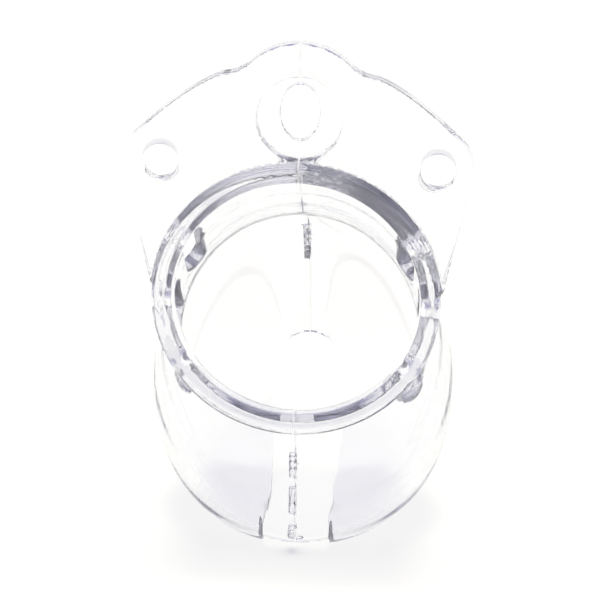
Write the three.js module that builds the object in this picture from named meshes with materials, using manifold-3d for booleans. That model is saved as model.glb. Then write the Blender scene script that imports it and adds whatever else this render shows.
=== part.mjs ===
// A clear moulded cage section: a flange plate with a rim ring, and a short curved tube that
// swells into a bulb with a long slot. It is moulded as a left and a right half, which meet on
// the plane X = 0 and are bonded there, with small tongues of the right half in grooves of the left.
// Millimetres. X is to the right, Y runs from the flange back into the bulb, Z is up.
import * as THREE from "three";
import { mergeVertices } from "three/addons/utils/BufferGeometryUtils.js";
import Module from "manifold-3d";

// Rim ring and bore, centred on the ring axis, which is parallel to Y.
const BORE_RADIUS = 17.4;
const RIM_WIDTH = 2.9;
const RIM_RADIUS = BORE_RADIUS + RIM_WIDTH;
const RIM_PROUD = 1.0; // how far the rim stands in front of the flange plate
const RIM_EDGE = 0.8; // rounding of the rim's outer edge
const MOUTH_CHAMFER = 1.5; // bevel from the rim's face into the bore
const BORE_DEPTH = 1.0; // how far the bore runs behind the plate's face
const BORE_OVERLAP = 0.1; // the tube's own hollow starts this far before the bore's end

// Flange plate. Its three holes lie on one circle round the ring axis, and heights are above that
// axis. The plate's edge is a round hump over the middle hole, a bowed wing on each side, and a
// corner arc around each outer hole.
const PLATE_THICKNESS = 3.0;
const PLATE_EDGE = 0.4; // rounding of the plate's edges
const HOLE_MARGIN = 7.2; // from the rim's outside to the centres of the holes
const HOLE_CIRCLE = RIM_RADIUS + HOLE_MARGIN;
const PIN_ANGLE = 44; // degrees of the outer holes from the middle one
const HUMP_RADIUS = 9.7;
const HUMP_HALF_ANGLE = 46; // degrees of the hump's arc on each side of the top
const WING_START_OUT = 10.4; // where the wing leaves the hump, from the middle hole's centre
const WING_START_UP = 5.2;
const WING_BULGE = 1.4; // how far the wing bows out, and how far along it
const WING_KNEE = 0.31;
const WING_END_ANGLE = 48; // degrees of the corner arc, from the side up to the wing's end
const SIDE_ANGLE = -10.5; // degrees where the corner arc runs into the straight side
const SIDE_FOOT = 2; // height at which the side meets the rim
const CORNER_RADIUS = 4.9;
const CORNER_RISE = 0.6; // the corner arc's centre is this far above the hole's
const PIN_HOLE_RADIUS = 2.4;
const PIN_NECK = 0.4; // length of the hole's straight neck, between its countersinks
const PIN_COUNTERSINK = 0.9; // how much wider the hole is at the plate's faces

// Lock post recess and the oval hole through its floor, just below the hump's centre.
const RECESS_RADIUS = 5.9;
const RECESS_DEPTH = 1.8;
const RECESS_DROP = 0.9;
const OVAL_HALF_WIDTH = 2.7;
const OVAL_HALF_HEIGHT = 3.85;
const OVAL_DROP = 0.35;

// Tube and bulb: outer skin through fanned oval sections, each given by its front lower point,
// its back upper point (depth behind the plate's face, height from the ring axis) and half width.
// They are drawn for a tube of DRAWN_RADIUS at the plate, and grow with the tube.
const WALL = 2.1;
const MOUTH_STEP = 0.1; // the rim's bore is this much wider than the tube's
const DRAWN_RADIUS = 19.4;
const GROWTH = (BORE_RADIUS - MOUTH_STEP + WALL) / DRAWN_RADIUS;
const SECTIONS = [
  { low: [-6, -19.2], high: [-6, 19.6], half: 19.4 },
  { low: [0, -19.4], high: [0, 19.4], half: 19.4 },
  { low: [3.8, -20.6], high: [5.2, 18.2], half: 19.5 },
  { low: [7.4, -25.2], high: [11, 13.8], half: 19.5 },
  { low: [9.6, -31], high: [17, 9.2], half: 19.6 },
  { low: [10.2, -36.4], high: [26, 6.4], half: 21.2 },
  { low: [11, -41], high: [36, -1.5], half: 22.9 },
  { low: [12.8, -44.6], high: [43.2, -14.5], half: 22.4 },
  { low: [15.6, -46.5], high: [44.6, -28.5], half: 19 },
  { low: [19, -46.7], high: [39.5, -39.8], half: 13.4 },
  { low: [23, -46.8], high: [32, -45.2], half: 6.8 },
];
const TIP = [27, -46.7];
const FOOT_HEIGHT = -46.1 * GROWTH; // the bulb is flat below this, and stands on it
const STEPS_PER_SECTION = 3;
const STEPS_AROUND = 48;

// Slot over the end of the bulb.
const SLOT_WIDTH = 10;
const SLOT_TOP = -22.5 * GROWTH; // height of the arch's top
const SLOT_START = 13.2 * GROWTH; // depth of the slot's straight front end

// Side vents right behind the rim, three on each side.
const VENT_WIDTH = 3.8;
const VENT_LENGTH = 11;
const VENT_ANGLES = [60, 90, 120]; // degrees round the tube from its top
const VENT_STATION = 2.75; // where the vents' middles are, counted in sections

// Tongues of the right half, each a [from, to] range of depth or height along the seam.
const TONGUE_REACH = 0.9;
const TONGUE_THICKNESS = 0.8;
const TONGUE_CLEARANCE = 0.15;
const BACK_TONGUES = [[17.5, 27.5], [33, 38.5]]; // depths, on the back wall
const FRONT_TONGUES = [[-32.4, -27.6], [-38.8, -34.2], [-43.6, -41]]; // heights, on the front wall

const FAR = 150; // larger than the object, for cutting blocks
const PAST = 1; // how far a cut starts in front of a face or ends behind it
const pinTurn = THREE.MathUtils.degToRad(PIN_ANGLE);
const PIN_OFFSET = HOLE_CIRCLE * Math.sin(pinTurn);
const PIN_HEIGHT = HOLE_CIRCLE * Math.cos(pinTurn);
const wasm = await Module();
wasm.setup();

// Solids ---------------------------------------------------------------------------------------

function solidOf(geometry) {
  const bare = geometry.clone();
  bare.deleteAttribute("normal");
  bare.deleteAttribute("uv");
  const merged = mergeVertices(bare, 1e-4);
  const mesh = new wasm.Mesh({
    numProp: 3,
    vertProperties: new Float32Array(merged.attributes.position.array),
    triVerts: new Uint32Array(merged.index.array),
  });
  return new wasm.Manifold(mesh);
}

function geometryOf(solid) {
  const mesh = solid.getMesh();
  const geometry = new THREE.BufferGeometry();
  geometry.setAttribute("position", new THREE.BufferAttribute(mesh.vertProperties, 3));
  geometry.setIndex(new THREE.BufferAttribute(mesh.triVerts, 1));
  geometry.computeVertexNormals();
  return geometry;
}

// A block between two corners, each [x, depth, height].
function block(from, to) {
  const size = to.map((value, i) => value - from[i]);
  const geometry = new THREE.BoxGeometry(...size);
  geometry.translate(...from.map((value, i) => value + size[i] / 2));
  return solidOf(geometry);
}

// An outline in X and height, made solid from one depth back to another, its edges rounded.
function slab(outline, front, back, edge = 0) {
  const geometry = new THREE.ExtrudeGeometry(outline, {
    depth: back - front - 2 * edge,
    curveSegments: 16,
    bevelEnabled: edge > 0,
    bevelSize: edge,
    bevelThickness: edge,
    bevelOffset: -edge,
    bevelSegments: 2,
  });
  geometry.rotateX(Math.PI / 2);
  geometry.translate(0, back - edge, 0);
  return solidOf(geometry);
}

// A solid turned about a line parallel to Y at (x, height). The profile is [radius, depth].
function turned(profile, x, height, segments = 64) {
  const points = profile.map(([radius, depth]) => new THREE.Vector2(radius, depth));
  const geometry = new THREE.LatheGeometry(points, segments);
  geometry.translate(x, 0, height);
  return solidOf(geometry);
}

// Outer skin of the tube and bulb --------------------------------------------------------------

const spline = (points) => new THREE.CatmullRomCurve3(points, false, "centripetal");
const inPlane = ([depth, height]) => new THREE.Vector3(0, depth * GROWTH, height * GROWTH);
const lowLine = spline([...SECTIONS.map((s) => inPlane(s.low)), inPlane(TIP)]);
const highLine = spline([...SECTIONS.map((s) => inPlane(s.high)), inPlane(TIP)]);
const halfLine = new THREE.SplineCurve(
  [...SECTIONS.map((s) => s.half * GROWTH), 0].map((half, i) => new THREE.Vector2(i, half)),
);
const LAST = SECTIONS.length;

// Point of the skin at a station along the tube and an angle from the top, in radians.
function skinPoint(station, angle) {
  const t = station / LAST;
  const low = lowLine.getPoint(t);
  const high = highLine.getPoint(t);
  const point = low.clone().lerp(high, (1 + Math.cos(angle)) / 2);
  point.x = halfLine.getPoint(t).y * Math.sin(angle);
  return point;
}

// Directions along the tube and out of the wall at a point of the skin.
function skinFrame(station, angle) {
  const step = 0.02; // sections and radians
  const from = Math.max(station - step, 0);
  const to = Math.min(station + step, LAST - step);
  const along = skinPoint(to, angle).sub(skinPoint(from, angle)).normalize();
  const around = skinPoint(station, angle + step).sub(skinPoint(station, angle - step));
  const out = around.cross(along).normalize();
  return { along, out };
}

// The closed solid inside the skin, moved in by a depth of wall.
function bulbSolid(inset) {
  const rings = LAST * STEPS_PER_SECTION;
  const positions = [];
  const faces = [];
  for (let i = 0; i < rings; i++) {
    const station = i / STEPS_PER_SECTION;
    for (let j = 0; j < STEPS_AROUND; j++) {
      const angle = (j / STEPS_AROUND) * 2 * Math.PI;
      const point = skinPoint(station, angle);
      point.addScaledVector(skinFrame(station, angle).out, -inset);
      const onSeam = j % (STEPS_AROUND / 2) === 0;
      positions.push(onSeam ? 0 : point.x, point.y, point.z);
    }
  }
  const start = inPlane(SECTIONS[0].low).lerp(inPlane(SECTIONS[0].high), 0.5);
  const tip = inPlane(TIP).add(new THREE.Vector3(0, 0, inset));
  positions.push(start.x, start.y, start.z, tip.x, tip.y, tip.z);
  const startIndex = rings * STEPS_AROUND;
  const lastRing = startIndex - STEPS_AROUND;
  for (let j = 0; j < STEPS_AROUND; j++) {
    const next = (j + 1) % STEPS_AROUND;
    faces.push(startIndex, next, j);
    faces.push(startIndex + 1, lastRing + j, lastRing + next);
    for (let ring = 0; ring < lastRing; ring += STEPS_AROUND) {
      const [a, b] = [ring + j, ring + next];
      const [c, d] = [a + STEPS_AROUND, b + STEPS_AROUND];
      faces.push(a, b, c, b, d, c);
    }
  }
  const geometry = new THREE.BufferGeometry();
  geometry.setAttribute("position", new THREE.Float32BufferAttribute(positions, 3));
  geometry.setIndex(faces);
  return solidOf(geometry);
}

// Flange plate, rim and their holes ------------------------------------------------------------

// The right half of the plate's edge, from the top of the hump down to the rim.
function plateEdge() {
  const cornerHeight = PIN_HEIGHT + CORNER_RISE;
  const onCorner = (degrees) => {
    const angle = THREE.MathUtils.degToRad(degrees);
    const reach = new THREE.Vector2(Math.cos(angle), Math.sin(angle));
    return reach.multiplyScalar(CORNER_RADIUS).add(new THREE.Vector2(PIN_OFFSET, cornerHeight));
  };
  const path = new THREE.Path();
  const humpEnd = THREE.MathUtils.degToRad(90 - HUMP_HALF_ANGLE);
  path.absarc(0, HOLE_CIRCLE, HUMP_RADIUS, Math.PI / 2, humpEnd, true);
  const wingStart = new THREE.Vector2(WING_START_OUT, HOLE_CIRCLE + WING_START_UP);
  const dip = path.currentPoint.clone();
  const lean = new THREE.Vector2(Math.sin(humpEnd), -Math.cos(humpEnd));
  dip.addScaledVector(lean, path.currentPoint.distanceTo(wingStart) / 2);
  path.quadraticCurveTo(dip.x, dip.y, wingStart.x, wingStart.y);
  const wingEnd = onCorner(WING_END_ANGLE);
  const run = wingEnd.clone().sub(wingStart);
  const knee = wingStart.clone().addScaledVector(run, WING_KNEE);
  knee.addScaledVector(new THREE.Vector2(-run.y, run.x).normalize(), WING_BULGE);
  path.quadraticCurveTo(knee.x, knee.y, wingEnd.x, wingEnd.y);
  const [from, to] = [WING_END_ANGLE, SIDE_ANGLE].map(THREE.MathUtils.degToRad);
  path.absarc(PIN_OFFSET, cornerHeight, CORNER_RADIUS, from, to, true);
  path.lineTo(Math.sqrt(RIM_RADIUS ** 2 - SIDE_FOOT ** 2) + PLATE_EDGE, SIDE_FOOT);
  return path.getPoints(10);
}

function plateOutline() {
  const right = plateEdge().reverse();
  const left = plateEdge().slice(1).map((point) => new THREE.Vector2(-point.x, point.y));
  return new THREE.Shape([...right, ...left]);
}

// The rim ring, with its bevelled mouth and rounded outer edge.
function rimSolid() {
  const front = -RIM_PROUD;
  const profile = [
    [BORE_RADIUS, front + MOUTH_CHAMFER],
    [BORE_RADIUS + MOUTH_CHAMFER, front],
    ...[90, 45, 0].map((degrees) => {
      const angle = THREE.MathUtils.degToRad(degrees);
      const inset = RIM_EDGE * (1 - Math.cos(angle));
      return [RIM_RADIUS - inset, front + RIM_EDGE * (1 - Math.sin(angle))];
    }),
    [RIM_RADIUS, PLATE_THICKNESS],
    [BORE_RADIUS, PLATE_THICKNESS],
    [BORE_RADIUS, front + MOUTH_CHAMFER],
  ];
  return turned(profile, 0, 0);
}

// A pin hole through the plate, countersunk on both faces.
function pinHole(x) {
  const wide = PIN_HOLE_RADIUS + PIN_COUNTERSINK;
  const sink = (PLATE_THICKNESS - PIN_NECK) / 2;
  const profile = [
    [0, -PAST],
    [wide, -PAST],
    [wide, 0],
    [PIN_HOLE_RADIUS, sink],
    [PIN_HOLE_RADIUS, PLATE_THICKNESS - sink],
    [wide, PLATE_THICKNESS],
    [wide, PLATE_THICKNESS + PAST],
    [0, PLATE_THICKNESS + PAST],
  ];
  return turned(profile, x, PIN_HEIGHT, 32);
}

// The round recess for the lock post, and the oval hole through its floor.
function postCut() {
  const round = new THREE.Shape();
  round.absarc(0, HOLE_CIRCLE - RECESS_DROP, RECESS_RADIUS, 0, 2 * Math.PI);
  const oval = new THREE.Shape();
  oval.absellipse(0, HOLE_CIRCLE - OVAL_DROP, OVAL_HALF_WIDTH, OVAL_HALF_HEIGHT, 0, 2 * Math.PI);
  return slab(round, -PAST, RECESS_DEPTH).add(slab(oval, 0, PLATE_THICKNESS + PAST));
}

// Cuts in the tube and bulb --------------------------------------------------------------------

function slotCut() {
  const radius = SLOT_WIDTH / 2;
  const outline = new THREE.Shape();
  outline.moveTo(-radius, FOOT_HEIGHT - radius);
  outline.lineTo(radius, FOOT_HEIGHT - radius);
  outline.absarc(0, SLOT_TOP - radius, radius, 0, Math.PI);
  return slab(outline, SLOT_START, FAR);
}

// A round-ended vent through the wall, along the tube, at an angle from the top.
function ventCut(degrees) {
  const angle = THREE.MathUtils.degToRad(degrees);
  const { along, out } = skinFrame(VENT_STATION, angle);
  const radius = VENT_WIDTH / 2;
  const half = VENT_LENGTH / 2 - radius;
  const outline = new THREE.Shape();
  outline.absarc(half, 0, radius, -Math.PI / 2, Math.PI / 2);
  outline.absarc(-half, 0, radius, Math.PI / 2, 1.5 * Math.PI);
  const outside = 1.5 * WALL; // the cut's ends, out of the wall and inside it
  const inside = 2.5 * WALL;
  const geometry = new THREE.ExtrudeGeometry(outline, {
    depth: outside + inside,
    curveSegments: 8,
    bevelEnabled: false,
  });
  geometry.translate(0, 0, -inside);
  const place = new THREE.Matrix4().makeBasis(along, out.clone().cross(along), out);
  place.setPosition(skinPoint(VENT_STATION, angle));
  geometry.applyMatrix4(place);
  return solidOf(geometry);
}

// The middle layer of the wall, cut into tongues that reach over the seam by the given amount.
function tongues(reach, thickness, spare) {
  const outerDepth = (WALL - thickness) / 2;
  const layer = bulbSolid(outerDepth).subtract(bulbSolid(outerDepth + thickness));
  const middle = (BACK_TONGUES[0][0] + SLOT_START) / 2;
  const boxes = [
    ...BACK_TONGUES.map(([from, to]) =>
      block([-reach, from - spare, -FAR], [TONGUE_REACH, to + spare, FAR])),
    ...FRONT_TONGUES.map(([from, to]) =>
      block([-reach, 0, from - spare], [TONGUE_REACH, middle, to + spare])),
  ];
  return boxes.map((box) => layer.intersect(box)).reduce((all, one) => all.add(one));
}

// The whole moulding, then its halves ----------------------------------------------------------

function wholeSolid() {
  const behindFace = block([-FAR, 0, FOOT_HEIGHT], [FAR, FAR, FAR]);
  const behindBore = block([-FAR, BORE_DEPTH - BORE_OVERLAP, -FAR], [FAR, FAR, FAR]);
  const hollow = bulbSolid(WALL).intersect(behindBore);
  const tube = bulbSolid(0).intersect(behindFace);
  const plate = slab(plateOutline(), 0, PLATE_THICKNESS, PLATE_EDGE);
  const bore = turned([[0, -PAST - RIM_PROUD], [BORE_RADIUS, -PAST - RIM_PROUD],
    [BORE_RADIUS, BORE_DEPTH], [0, BORE_DEPTH]], 0, 0);
  const cuts = [bore, hollow, postCut(), slotCut(), pinHole(-PIN_OFFSET), pinHole(PIN_OFFSET)];
  cuts.push(...VENT_ANGLES.flatMap((angle) => [ventCut(angle), ventCut(-angle)]));
  const solid = [plate, rimSolid()].reduce((all, one) => all.add(one), tube);
  return cuts.reduce((all, one) => all.subtract(one), solid);
}

function halfSolids() {
  const whole = wholeSolid();
  const proud = tongues(TONGUE_REACH, TONGUE_THICKNESS, 0).intersect(whole);
  const groove = tongues(
    TONGUE_REACH + TONGUE_CLEARANCE,
    TONGUE_THICKNESS + 2 * TONGUE_CLEARANCE,
    TONGUE_CLEARANCE,
  );
  const right = whole.intersect(block([0, -FAR, -FAR], [FAR, FAR, FAR])).add(proud);
  const left = whole.intersect(block([-FAR, -FAR, -FAR], [0, FAR, FAR])).subtract(groove);
  return { left_half: left, right_half: right };
}

function clearPlastic() {
  return new THREE.MeshStandardMaterial({
    color: 0xe9e8f2,
    roughness: 0.08,
    metalness: 0,
    transparent: true,
    opacity: 0.35,
  });
}

// The origin is under the middle of the object, on the surface that it stands on.
const cage = new THREE.Group();
for (const [name, solid] of Object.entries(halfSolids())) {
  const half = new THREE.Mesh(geometryOf(solid), clearPlastic());
  half.name = name;
  cage.add(half);
}
const bounds = new THREE.Box3().setFromObject(cage);
cage.position.set(0, -(bounds.min.y + bounds.max.y) / 2, -bounds.min.z);

export default cage;
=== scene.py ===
# The clear cage section: two moulded halves in clear plastic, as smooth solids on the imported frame.
import math
import bpy
import numpy as np
from mathutils import Matrix, Vector
from mathutils.bvhtree import BVHTree

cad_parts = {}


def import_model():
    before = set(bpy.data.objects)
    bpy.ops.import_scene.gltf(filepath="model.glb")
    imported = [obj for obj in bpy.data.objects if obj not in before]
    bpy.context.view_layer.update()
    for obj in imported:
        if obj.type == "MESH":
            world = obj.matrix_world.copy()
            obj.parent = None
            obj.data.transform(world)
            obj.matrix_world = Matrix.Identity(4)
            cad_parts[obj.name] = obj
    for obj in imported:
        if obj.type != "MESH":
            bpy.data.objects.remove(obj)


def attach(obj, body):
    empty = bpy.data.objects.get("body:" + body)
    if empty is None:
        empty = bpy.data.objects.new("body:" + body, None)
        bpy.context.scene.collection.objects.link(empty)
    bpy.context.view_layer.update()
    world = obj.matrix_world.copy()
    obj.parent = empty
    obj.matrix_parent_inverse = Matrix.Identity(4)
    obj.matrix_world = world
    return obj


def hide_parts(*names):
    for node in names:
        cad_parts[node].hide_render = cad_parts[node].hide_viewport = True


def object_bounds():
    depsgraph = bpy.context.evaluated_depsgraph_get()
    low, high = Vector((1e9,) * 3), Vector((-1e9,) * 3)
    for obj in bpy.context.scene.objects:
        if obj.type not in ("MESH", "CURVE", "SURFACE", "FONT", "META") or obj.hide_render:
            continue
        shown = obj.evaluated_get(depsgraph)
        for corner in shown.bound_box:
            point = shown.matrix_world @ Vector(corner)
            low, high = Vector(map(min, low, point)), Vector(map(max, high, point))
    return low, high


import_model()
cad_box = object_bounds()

MM = 0.001
FRAME_SIDE = 600  # the picture is square

# Sizes, in millimetres. Places are (x, depth, height): x from the seam plane, depth back from the
# plate's front face, height from the ring axis.
BORE_RADIUS = 17.4
RIM_WIDTH = 2.9
RIM_RADIUS = BORE_RADIUS + RIM_WIDTH
RIM_PROUD = 1.0
MOUTH_CHAMFER = 1.5
PLATE_THICKNESS = 3.0
BORE_DEPTH = 1.0  # how far the bore runs behind the plate's face
HOLE_MARGIN = 7.2
HOLE_CIRCLE = RIM_RADIUS + HOLE_MARGIN
PIN_ANGLE = math.radians(44)
PIN_X = HOLE_CIRCLE * math.sin(PIN_ANGLE)
PIN_HEIGHT = HOLE_CIRCLE * math.cos(PIN_ANGLE)
PIN_HOLE_RADIUS = 2.4
PIN_COUNTERSINK = 0.9
PIN_NECK = 0.4
PIN_ROUNDING = 0.96  # share of a full quarter round in the sweep to the plate's face
PLATE_EDGE = 0.4
HUMP_RADIUS = 9.7
HUMP_HALF_ANGLE = math.radians(46)
WING_START_UP = 5.2
WING_START = (10.4, HOLE_CIRCLE + WING_START_UP)
WING_BULGE = 1.4
WING_KNEE = 0.31
WING_END_ANGLE = math.radians(48)
SIDE_ANGLE = math.radians(-10.5)
SIDE_FOOT = 2.0
CORNER_RADIUS = 4.9
CORNER_RISE = 0.6
CORNER_HEIGHT = PIN_HEIGHT + CORNER_RISE
RECESS_RADIUS = 5.9
RECESS_DEPTH = 1.8
RECESS_DROP = 0.9
RECESS_HEIGHT = HOLE_CIRCLE - RECESS_DROP
OVAL_HALF = (2.7, 3.85)
OVAL_DROP = 0.35
OVAL_HEIGHT = HOLE_CIRCLE - OVAL_DROP
OVAL_REACH = 10.0  # past the plate's back
WALL = 2.1
TUBE_START = 0.3  # depths at which the tube's outside and its hollow begin
HOLLOW_START = 0.5
SECTIONS = [  # front lower point, back upper point, half width
    ((-6, -19.2), (-6, 19.6), 19.4),
    ((0, -19.4), (0, 19.4), 19.4),
    ((3.8, -20.6), (5.2, 18.2), 19.5),
    ((7.4, -25.2), (11, 13.8), 19.5),
    ((9.6, -31), (17, 9.2), 19.6),
    ((10.2, -36.4), (26, 6.4), 21.2),
    ((11, -41), (36, -1.5), 22.9),
    ((12.8, -44.6), (43.2, -14.5), 22.4),
    ((15.6, -46.5), (44.6, -28.5), 19),
    ((19, -46.7), (39.5, -39.8), 13.4),
    ((23, -46.8), (32, -45.2), 6.8),
    ((27, -46.7), (27, -46.7), 0),
]
FOOT_HEIGHT = -46.1
SLOT_RADIUS = 5.0
SLOT_TOP = -22.5
SLOT_START = 13.2
VENT_RADIUS = 1.9
VENT_LENGTH = 11.0
VENT_ANGLES = (60, 90, 120)
VENT_STATION = 2.75
VENT_REACH = 4.5  # each way from the skin, past the wall
TONGUE_REACH = 0.9  # past the seam plane
TONGUE_ROOT = 1.0  # into its own half
TONGUE_THICKNESS = 0.8
TONGUE_CLEARANCE = 0.15
BACK_TONGUES = [(17.5, 27.5), (33, 38.5)]
FRONT_TONGUES = [(-32.4, -27.6), (-38.8, -34.2), (-43.6, -41)]

# How fine the solids are made, and how round their edges are.
STEP = 0.36
GRID_X = (-1.6, 25.6)
GRID_DEPTH = (-2.2, 46.6)
GRID_HEIGHT = (-47.8, 39.4)
COARSE = 3  # steps between the places where the distance to the skin is measured
SHARP_ANGLE = math.radians(33)
SEAM_GAP = 0.1  # from the seam plane to each half
FILLET = 0.7
EDGE = 0.8
SOFT_EDGE = 0.4
FINE_EDGE = 0.3
PIN_EDGE = 0.2
CRISP_EDGE = 0.1
SETTLE_ROUNDS = 3  # times that each point is moved on to the surface
SETTLE_SHARE = 0.8
LEAST_SLOPE = 0.25

# Where the ring axis and the plate's face are in the frame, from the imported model.
RING_Y = cad_box[0].y + RIM_PROUD * MM
RING_Z = cad_box[0].z - FOOT_HEIGHT * MM


# Distance fields ------------------------------------------------------------------------------
# A field is negative inside the solid. Joins and cuts are rounded by a radius.

def join(a, b, radius):
    near = np.hypot(np.maximum(radius - a, 0), np.maximum(radius - b, 0))
    return np.maximum(np.minimum(a, b), radius) - near


def common(a, b, radius):
    return -join(-a, -b, radius)


def cut(a, b, radius):
    return common(a, -b, radius)


def catmull(points, t, uniform=False):
    """Points of a curve through the given ones, at positions counted in points."""
    points = np.asarray(points, float)
    last = len(points) - 1
    i = np.clip(np.floor(t).astype(int), 0, last - 1)
    w = (t - i)[:, None]
    first_guess = points[0] if uniform else 2 * points[0] - points[1]
    last_guess = points[-1] if uniform else 2 * points[-1] - points[-2]
    padded = np.vstack([first_guess, points, last_guess])
    p0, p1, p2, p3 = (padded[i + k] for k in range(4))
    if uniform:
        v1, v2 = (p2 - p0) / 2, (p3 - p1) / 2
    else:
        pairs = ((p0, p1), (p1, p2), (p2, p3))
        d0, d1, d2 = (np.sqrt(np.linalg.norm(b - a, axis=1))[:, None] for a, b in pairs)
        d1 = np.where(d1 < 1e-2, 1, d1)
        d0 = np.where(d0 < 1e-2, d1, d0)
        d2 = np.where(d2 < 1e-2, d1, d2)
        v1 = ((p1 - p0) / d0 - (p2 - p0) / (d0 + d1) + (p2 - p1) / d1) * d1
        v2 = ((p2 - p1) / d1 - (p3 - p1) / (d1 + d2) + (p3 - p2) / d2) * d1
    return p1 + v1 * w + (3 * (p2 - p1) - 2 * v1 - v2) * w**2 + (2 * (p1 - p2) + v1 + v2) * w**3


def skin_points(station, angle):
    """Points of the tube's and bulb's outer skin: position along it, and angle from the top."""
    low = catmull([s[0] for s in SECTIONS], station)
    high = catmull([s[1] for s in SECTIONS], station)
    half = catmull([[s[2]] for s in SECTIONS], station, uniform=True)[:, 0]
    share = (1 + np.cos(angle))[:, None] / 2
    in_plane = low + (high - low) * share
    return np.column_stack([half * np.sin(angle), in_plane])


def skin_tree():
    """The right half of the skin as a fine net, for measuring distances."""
    along, around = 260, 180
    s = np.linspace(0, len(SECTIONS) - 1, along)
    a = np.linspace(-0.15, math.pi + 0.15, around)
    ss, aa = (g.ravel() for g in np.meshgrid(s, a, indexing="ij"))
    points = skin_points(ss, aa)
    i, j = (g.ravel() for g in np.meshgrid(np.arange(along - 1), np.arange(around - 1), indexing="ij"))
    corner = i * around + j
    quads = np.column_stack([corner, corner + 1, corner + around + 1, corner + around])
    return BVHTree.FromPolygons(points.tolist(), quads.tolist())


def skin_field(grid):
    """Distance to the skin at every place of the grid, measured on a coarser one and interpolated."""
    tree = skin_tree()
    stride = COARSE * STEP
    axes = [np.arange(axis[0] - stride, axis[-1] + 3 * stride, stride) for axis in grid]
    values = np.empty([len(axis) for axis in axes])
    for i, x in enumerate(axes[0]):
        for j, depth in enumerate(axes[1]):
            for k, height in enumerate(axes[2]):
                place = Vector((abs(x), depth, height))
                near, normal, _, distance = tree.find_nearest(place)
                values[i, j, k] = math.copysign(distance, (place - near).dot(normal))
    for axis in range(3):
        values = refine(values, axis, len(grid[axis]))
    return values


def refine(values, axis, count):
    """Catmull-Rom interpolation along one axis, to COARSE times as many places."""
    values = np.moveaxis(values, axis, 0)
    place = np.arange(count) / COARSE + 1
    i = np.floor(place).astype(int)
    w = (place - i).reshape([-1] + [1] * (values.ndim - 1))
    a, b, c, d = (values[i + k] for k in (-1, 0, 1, 2))
    out = b + w / 2 * (c - a + w * (2 * a - 5 * b + 4 * c - d + w * (3 * (b - c) + d - a)))
    return np.moveaxis(out, 0, axis)


def plate_edge():
    """The right half of the plate's outline, from the top of the hump down to the rim."""
    def arc(centre, radius, start, end, count):
        angle = np.linspace(start, end, count)
        return np.column_stack([centre[0] + radius * np.cos(angle), centre[1] + radius * np.sin(angle)])

    def bend(a, knee, b, count):
        t = np.linspace(0, 1, count)[1:-1, None]
        return (1 - t) ** 2 * a + 2 * t * (1 - t) * knee + t**2 * b

    hump_end = math.pi / 2 - HUMP_HALF_ANGLE
    hump = arc((0, HOLE_CIRCLE), HUMP_RADIUS, math.pi / 2, hump_end, 24)
    start = np.array(WING_START)
    lean = np.array([math.sin(hump_end), -math.cos(hump_end)])
    dip = hump[-1] + lean * np.linalg.norm(start - hump[-1]) / 2
    corner = arc((PIN_X, CORNER_HEIGHT), CORNER_RADIUS, WING_END_ANGLE, SIDE_ANGLE, 24)
    run = corner[0] - start
    out = np.array([-run[1], run[0]]) / np.linalg.norm(run)
    knee = start + run * WING_KNEE + out * WING_BULGE
    foot = [math.sqrt(RIM_RADIUS**2 - SIDE_FOOT**2) + PLATE_EDGE, SIDE_FOOT]
    notch = bend(hump[-1], dip, start, 12)
    wing = bend(start, knee, corner[0], 24)
    return np.vstack([hump, notch, start, wing, corner, foot])


def outline_field(outline, x, height):
    """Signed distance to a closed outline in the plate's plane."""
    px, ph = np.meshgrid(x, height, indexing="ij")
    best = np.full(px.shape, 1e9)
    inside = np.zeros(px.shape, bool)
    for (ax, ah), (bx, bh) in zip(outline, np.roll(outline, -1, axis=0)):
        ex, eh = bx - ax, bh - ah
        t = np.clip(((px - ax) * ex + (ph - ah) * eh) / (ex * ex + eh * eh), 0, 1)
        best = np.minimum(best, np.hypot(px - ax - t * ex, ph - ah - t * eh))
        if ah != bh:
            crosses = (ah > ph) != (bh > ph)
            inside ^= crosses & (px < ax + (ph - ah) * ex / eh)
    return np.where(inside, -best, best)


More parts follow.
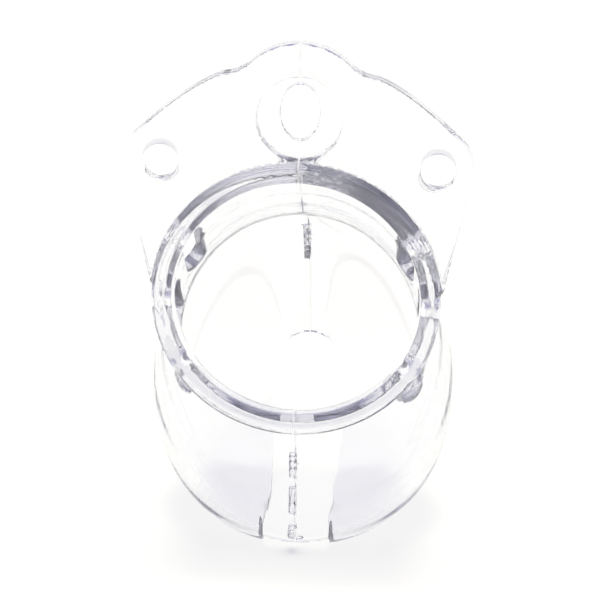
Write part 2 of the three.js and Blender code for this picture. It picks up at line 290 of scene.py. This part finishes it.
class Fields:
    """Everything that both halves are cut from, on one grid."""

    def __init__(self):
        ranges = (GRID_X, GRID_DEPTH, GRID_HEIGHT)
        self.grid = [np.arange(low, high, STEP) for low, high in ranges]
        self.x, self.depth, self.height = np.meshgrid(*self.grid, indexing="ij", sparse=True)
        self.skin = skin_field(self.grid)
        self.whole = self.make_whole()

    def plate(self):
        right = plate_edge()
        outline = np.vstack([right, (right * (-1, 1))[:0:-1]])
        flat = outline_field(outline, self.grid[0], self.grid[2])[:, None, :]
        half = PLATE_THICKNESS / 2
        return common(flat, abs(self.depth - half) - half, PLATE_EDGE)

    def rim(self):
        radius = np.hypot(self.x, self.height)
        across = abs(radius - (BORE_RADIUS + RIM_RADIUS) / 2) - RIM_WIDTH / 2
        middle = (PLATE_THICKNESS - RIM_PROUD) / 2
        along = abs(self.depth - middle) - (PLATE_THICKNESS + RIM_PROUD) / 2
        ring = common(across, along, EDGE)
        bevel = (BORE_RADIUS + MOUTH_CHAMFER - radius - RIM_PROUD - self.depth) / math.sqrt(2)
        return common(ring, bevel, EDGE)

    def hollow(self):
        bore = np.maximum(np.hypot(self.x, self.height) - BORE_RADIUS, self.depth - BORE_DEPTH)
        inside = np.maximum(self.skin + WALL, HOLLOW_START - self.depth)
        return join(bore, inside, FINE_EDGE)

    def recess(self):
        away = np.hypot(self.x, self.height - RECESS_HEIGHT) - RECESS_RADIUS
        return np.maximum(away, self.depth - RECESS_DEPTH)

    def pin_hole(self):
        """A hole with a short neck, widened in a round sweep to both faces."""
        half = PLATE_THICKNESS / 2
        from_neck = np.maximum(abs(self.depth - half) - PIN_NECK / 2, 0)
        share = np.minimum(from_neck / (half - PIN_NECK / 2), 1)
        flare = PIN_COUNTERSINK * (1 - np.sqrt(1 - share**2 * PIN_ROUNDING))
        return np.hypot(self.x - PIN_X, self.height - PIN_HEIGHT) - PIN_HOLE_RADIUS - flare

    def oval(self):
        wide, tall = OVAL_HALF
        u, v = self.x, self.height - OVAL_HEIGHT
        k = np.sqrt((u / wide) ** 2 + (v / tall) ** 2)
        steep = np.sqrt((u / wide**2) ** 2 + (v / tall**2) ** 2) + 1e-9
        return np.maximum(k * (k - 1) / steep, self.depth - OVAL_REACH)

    def slot(self):
        arch = np.hypot(self.x, np.maximum(self.height - (SLOT_TOP - SLOT_RADIUS), 0)) - SLOT_RADIUS
        return common(arch, SLOT_START - self.depth, CRISP_EDGE)

    def vent(self, degrees):
        angle = np.array([math.radians(degrees)])
        station = np.array([VENT_STATION])
        nudge = 0.02
        middle = skin_points(station, angle)[0]
        along = skin_points(station + nudge, angle)[0] - skin_points(station - nudge, angle)[0]
        around = skin_points(station, angle + nudge)[0] - skin_points(station, angle - nudge)[0]
        along /= np.linalg.norm(along)
        out = np.cross(around, along)
        out /= np.linalg.norm(out)
        side = np.cross(out, along)
        offset = [self.x - middle[0], self.depth - middle[1], self.height - middle[2]]
        u, v, w = (sum(o * c for o, c in zip(offset, way)) for way in (along, side, out))
        reach = VENT_LENGTH / 2 - VENT_RADIUS
        round_end = np.hypot(np.maximum(abs(u) - reach, 0), v) - VENT_RADIUS
        return np.maximum(round_end, abs(w) - VENT_REACH)

    def make_whole(self):
        tube = np.maximum(self.skin, TUBE_START - self.depth)
        solid = join(self.plate(), self.rim(), FINE_EDGE)
        solid = join(solid, tube, FILLET)
        solid = cut(solid, self.hollow(), SOFT_EDGE)
        solid = cut(solid, self.pin_hole(), PIN_EDGE)
        solid = cut(solid, self.recess(), SOFT_EDGE)
        solid = cut(solid, self.oval(), SOFT_EDGE)
        solid = cut(solid, self.slot(), SOFT_EDGE)
        for degrees in VENT_ANGLES:
            solid = cut(solid, self.vent(degrees), FINE_EDGE)
        return common(solid, FOOT_HEIGHT - self.height, FINE_EDGE)

    def tongues(self, spare):
        layer = abs(self.skin + WALL / 2) - TONGUE_THICKNESS / 2 - spare
        boxes = np.full(np.broadcast(self.depth, self.height).shape, 1e3)
        middle = (BACK_TONGUES[0][0] + SLOT_START) / 2
        for low, high in BACK_TONGUES:
            span = abs(self.depth - (low + high) / 2) - (high - low) / 2
            boxes = np.minimum(boxes, np.maximum(span, 0 * self.height))
        for low, high in FRONT_TONGUES:
            span = abs(self.height - (low + high) / 2) - (high - low) / 2
            boxes = np.minimum(boxes, np.maximum(span, self.depth - middle))
        return np.maximum(layer, boxes - spare)


# Meshes ---------------------------------------------------------------------------------------

def sample(field, grid, points):
    """Value and gradient of a field at points between the grid's places."""
    place = [(points[:, k] - grid[k][0]) / STEP for k in range(3)]
    base = [np.clip(p.astype(int), 0, len(grid[k]) - 2) for k, p in enumerate(place)]
    f = [p - b for p, b in zip(place, base)]
    c = {}
    for i in (0, 1):
        for j in (0, 1):
            for k in (0, 1):
                c[i, j, k] = field[base[0] + i, base[1] + j, base[2] + k]
    fx, fy, fz = f
    x = {(j, k): c[0, j, k] * (1 - fx) + c[1, j, k] * fx for j in (0, 1) for k in (0, 1)}
    y = {k: x[0, k] * (1 - fy) + x[1, k] * fy for k in (0, 1)}
    value = y[0] * (1 - fz) + y[1] * fz
    dx = {(j, k): c[1, j, k] - c[0, j, k] for j in (0, 1) for k in (0, 1)}
    gx = (dx[0, 0] * (1 - fy) + dx[1, 0] * fy) * (1 - fz) + (dx[0, 1] * (1 - fy) + dx[1, 1] * fy) * fz
    gy = (x[1, 0] - x[0, 0]) * (1 - fz) + (x[1, 1] - x[0, 1]) * fz
    gz = y[1] - y[0]
    return value, np.column_stack([gx, gy, gz]) / STEP


def surface_net(field, grid):
    """A quad net on the field's zero surface: one point for each cell that the surface passes."""
    inside = field < 0
    cells = tuple(n - 1 for n in field.shape)
    total = np.zeros(cells + (3,), np.float32)
    count = np.zeros(cells, np.int16)
    crossings = []
    for axis in range(3):
        low = [slice(None)] * 3
        high = [slice(None)] * 3
        low[axis], high[axis] = slice(0, -1), slice(1, None)
        low, high = tuple(low), tuple(high)
        at = np.argwhere(inside[low] != inside[high])
        a, b = field[low][tuple(at.T)], field[high][tuple(at.T)]
        point = at.astype(np.float32)
        point[:, axis] += a / (a - b)
        others = [k for k in range(3) if k != axis]
        keep = np.all([(at[:, k] > 0) & (at[:, k] < cells[k]) for k in others], axis=0)
        at, point = at[keep], point[keep]
        crossings.append((axis, at, inside[tuple(at.T)]))
        for p in (0, 1):
            for q in (0, 1):
                cell = at.copy()
                cell[:, others[0]] -= p
                cell[:, others[1]] -= q
                np.add.at(total, tuple(cell.T), point)
                np.add.at(count, tuple(cell.T), 1)
    used = count > 0
    index = np.full(cells, -1, np.int64)
    index[used] = np.arange(used.sum())
    origin = np.array([axis[0] for axis in grid])
    points = total[used] / count[used][:, None] * STEP + origin
    quads = []
    for axis, at, starts_inside in crossings:
        u, v = [k for k in range(3) if k != axis]
        corners = []
        for p, q in ((1, 1), (0, 1), (0, 0), (1, 0)):
            cell = at.copy()
            cell[:, u] -= p
            cell[:, v] -= q
            corners.append(index[tuple(cell.T)])
        quad = np.column_stack(corners)
        flip = starts_inside if axis == 1 else ~starts_inside
        quad[flip] = quad[flip][:, ::-1]
        quads.append(quad)
    return points, np.vstack(quads), np.argwhere(used)


def on_seam_edge(field, whole, grid, cells):
    """The cells where the seam plane meets the surface of the whole moulding."""
    corners = [tuple((cells + (i, j, k)).T) for i in (0, 1) for j in (0, 1) for k in (0, 1)]
    solid = np.array([whole[c] < 0 for c in corners])
    half = np.array([field[c] - np.maximum(whole[c], SEAM_GAP - grid[0][c[0]]) for c in corners])
    first = grid[0][cells[:, 0]]
    at_plane = (first <= SEAM_GAP) & (first + STEP > SEAM_GAP)
    return at_plane & solid.any(axis=0) & ~solid.all(axis=0) & (abs(half).max(axis=0) < 1e-6)


def half_mesh(name, field, fields, mirrored):
    """One half as a smooth Blender object, in metres, in the frame."""
    grid = fields.grid
    points, quads, cells = surface_net(field, grid)
    for _ in range(SETTLE_ROUNDS):
        value, slope = sample(field, grid, points)
        size = np.maximum((slope**2).sum(axis=1), LEAST_SLOPE)
        points = points - slope * (value / size)[:, None] * SETTLE_SHARE
    edge = on_seam_edge(field, fields.whole, grid, cells)
    for _ in range(SETTLE_ROUNDS):
        points[edge, 0] = SEAM_GAP
        value, slope = sample(fields.whole, grid, points[edge])
        slope[:, 0] = 0
        size = np.maximum((slope**2).sum(axis=1), LEAST_SLOPE)
        points[edge] -= slope * (value / size)[:, None]
    if mirrored:
        points[:, 0] *= -1
        quads = quads[:, ::-1]
    places = points * MM + (0, RING_Y, RING_Z)
    mesh = bpy.data.meshes.new(name)
    mesh.from_pydata(places.tolist(), [], quads.tolist())
    mesh.shade_smooth()
    mesh.set_sharp_from_angle(angle=SHARP_ANGLE)
    mesh.validate()
    obj = bpy.data.objects.new(name, mesh)
    bpy.context.scene.collection.objects.link(obj)
    return obj


# Material -------------------------------------------------------------------------------------

def clear_plastic():
    """Clear polycarbonate with a faint violet tint in its depth and a moulded surface."""
    material = bpy.data.materials.new("clear_polycarbonate")
    material.use_nodes = True
    nodes, links = material.node_tree.nodes, material.node_tree.links
    plastic = nodes["Principled BSDF"]
    plastic.inputs["Base Color"].default_value = (0.985, 0.983, 0.995, 1)
    plastic.inputs["IOR"].default_value = 1.585
    plastic.inputs["Transmission Weight"].default_value = 0.985
    output = nodes["Material Output"]

    place = nodes.new("ShaderNodeTexCoord")
    ripple = nodes.new("ShaderNodeTexNoise")
    ripple.inputs["Scale"].default_value = 110
    ripple.inputs["Detail"].default_value = 3
    links.new(place.outputs["Object"], ripple.inputs["Vector"])
    bump = nodes.new("ShaderNodeBump")
    bump.inputs["Strength"].default_value = 0.06
    bump.inputs["Distance"].default_value = 0.0004
    links.new(ripple.outputs["Fac"], bump.inputs["Height"])
    links.new(bump.outputs["Normal"], plastic.inputs["Normal"])

    haze = nodes.new("ShaderNodeTexNoise")
    haze.inputs["Scale"].default_value = 60
    haze.inputs["Detail"].default_value = 4
    links.new(place.outputs["Object"], haze.inputs["Vector"])
    rough = nodes.new("ShaderNodeMapRange")
    rough.inputs["To Min"].default_value = 0.0
    rough.inputs["To Max"].default_value = 0.03
    links.new(haze.outputs["Fac"], rough.inputs["Value"])
    links.new(rough.outputs["Result"], plastic.inputs["Roughness"])

    # Light shadows: clear plastic lets most of the light through.
    shadow = nodes.new("ShaderNodeBsdfTransparent")
    shadow.inputs["Color"].default_value = (0.93, 0.93, 0.935, 1)
    path = nodes.new("ShaderNodeLightPath")
    mix = nodes.new("ShaderNodeMixShader")
    links.new(path.outputs["Is Shadow Ray"], mix.inputs["Fac"])
    links.new(plastic.outputs["BSDF"], mix.inputs[1])
    links.new(shadow.outputs["BSDF"], mix.inputs[2])
    links.new(mix.outputs["Shader"], output.inputs["Surface"])

    depth = nodes.new("ShaderNodeVolumeAbsorption")
    depth.inputs["Color"].default_value = (0.7, 0.7, 0.86, 1)
    depth.inputs["Density"].default_value = 6
    links.new(depth.outputs["Volume"], output.inputs["Volume"])
    return material


# Setting --------------------------------------------------------------------------------------

def matt(name, colour):
    material = bpy.data.materials.new(name)
    material.use_nodes = True
    surface = material.node_tree.nodes["Principled BSDF"]
    surface.inputs["Base Color"].default_value = (*colour, 1)
    surface.inputs["Roughness"].default_value = 0.9
    surface.inputs["Specular IOR Level"].default_value = 0.1
    return material


def floor():
    """A wide floor, a little yellow so that it looks neutral under the violet sky."""
    mesh = bpy.data.meshes.new("floor")
    r = 3.0
    mesh.from_pydata([(-r, -r, 0), (r, -r, 0), (r, r, 0), (-r, r, 0)], [], [(0, 1, 2, 3)])
    obj = bpy.data.objects.new("floor", mesh)
    bpy.context.scene.collection.objects.link(obj)
    mesh.materials.append(matt("floor", (0.95, 0.95, 0.82)))


def soft_sun(name, towards, strength, spread, colour):
    """Even soft light that shades the floor and doesn't show in the plastic."""
    data = bpy.data.lights.new(name, "SUN")
    data.energy = strength
    data.angle = spread
    data.color = colour
    obj = bpy.data.objects.new(name, data)
    bpy.context.scene.collection.objects.link(obj)
    obj.rotation_euler = Vector(towards).to_track_quat("-Z", "Y").to_euler()
    obj.visible_glossy = False
    obj.visible_transmission = False


def world(low, top):
    """A studio that is bright all round and darker overhead."""
    sky = bpy.data.worlds.new("studio")
    sky.use_nodes = True
    nodes, links = sky.node_tree.nodes, sky.node_tree.links
    way = nodes.new("ShaderNodeTexCoord")
    parts = nodes.new("ShaderNodeSeparateXYZ")
    ramp = nodes.new("ShaderNodeValToRGB")
    ramp.color_ramp.elements[0].position = 0.3
    ramp.color_ramp.elements[0].color = (*low, 1)
    ramp.color_ramp.elements[1].position = 0.6
    ramp.color_ramp.elements[1].color = (*top, 1)
    links.new(way.outputs["Generated"], parts.inputs[0])
    links.new(parts.outputs["Z"], ramp.inputs["Fac"])
    links.new(ramp.outputs["Color"], nodes["Background"].inputs["Color"])
    bpy.context.scene.world = sky


def camera():
    """In front, a little to the right and above, looking at the ring."""
    az, el, roll = math.radians(3.3), math.radians(22), math.radians(1.2)
    distance = 320 * MM
    back = Vector((math.sin(az) * math.cos(el), -math.cos(az) * math.cos(el), math.sin(el)))
    right = Vector((math.cos(az), math.sin(az), 0))
    up = back.cross(right)
    across = math.cos(roll) * right + math.sin(roll) * up
    upward = math.cos(roll) * up - math.sin(roll) * right
    data = bpy.data.cameras.new("camera")
    data.sensor_width = 36
    data.lens = 137.1
    data.shift_x = 4.5 / FRAME_SIDE
    data.shift_y = 2.3 / FRAME_SIDE
    data.clip_start = 0.01
    obj = bpy.data.objects.new("camera", data)
    bpy.context.scene.collection.objects.link(obj)
    ring = Vector((0, RING_Y, RING_Z))
    turn = Matrix((across, upward, back)).transposed().to_4x4()
    obj.matrix_world = Matrix.Translation(ring + back * distance) @ turn
    bpy.context.scene.camera = obj


# The two halves -------------------------------------------------------------------------------

fields = Fields()
beside_seam = np.maximum(fields.whole, SEAM_GAP - fields.x)
tongue = np.maximum(fields.tongues(0), np.maximum(-TONGUE_REACH - fields.x, fields.x - TONGUE_ROOT))
groove = np.maximum(fields.tongues(TONGUE_CLEARANCE), fields.x - TONGUE_REACH - TONGUE_CLEARANCE)
halves = {
    "right_half": np.minimum(beside_seam, tongue),
    "left_half": np.maximum(beside_seam, -groove),
}
plastic = clear_plastic()
for name, field in halves.items():
    half = half_mesh(name + "_shell", field, fields, mirrored=name == "left_half")
    half.visible_diffuse = False  # the floor is lit and shaded by the lamps alone
    half.data.materials.append(plastic)
    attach(half, "root")
    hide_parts(name)

floor()
world((0.9, 0.9, 0.9), (0.38, 0.375, 0.58))
soft_sun("key", (0, 0.1, -1), 2.02, math.radians(16), (1, 1, 0.955))
camera()
bpy.context.scene.view_settings.view_transform = "Standard"
paths = bpy.context.scene.cycles  # light runs a long way inside clear walls
paths.max_bounces, paths.glossy_bounces, paths.transmission_bounces = 32, 24, 24
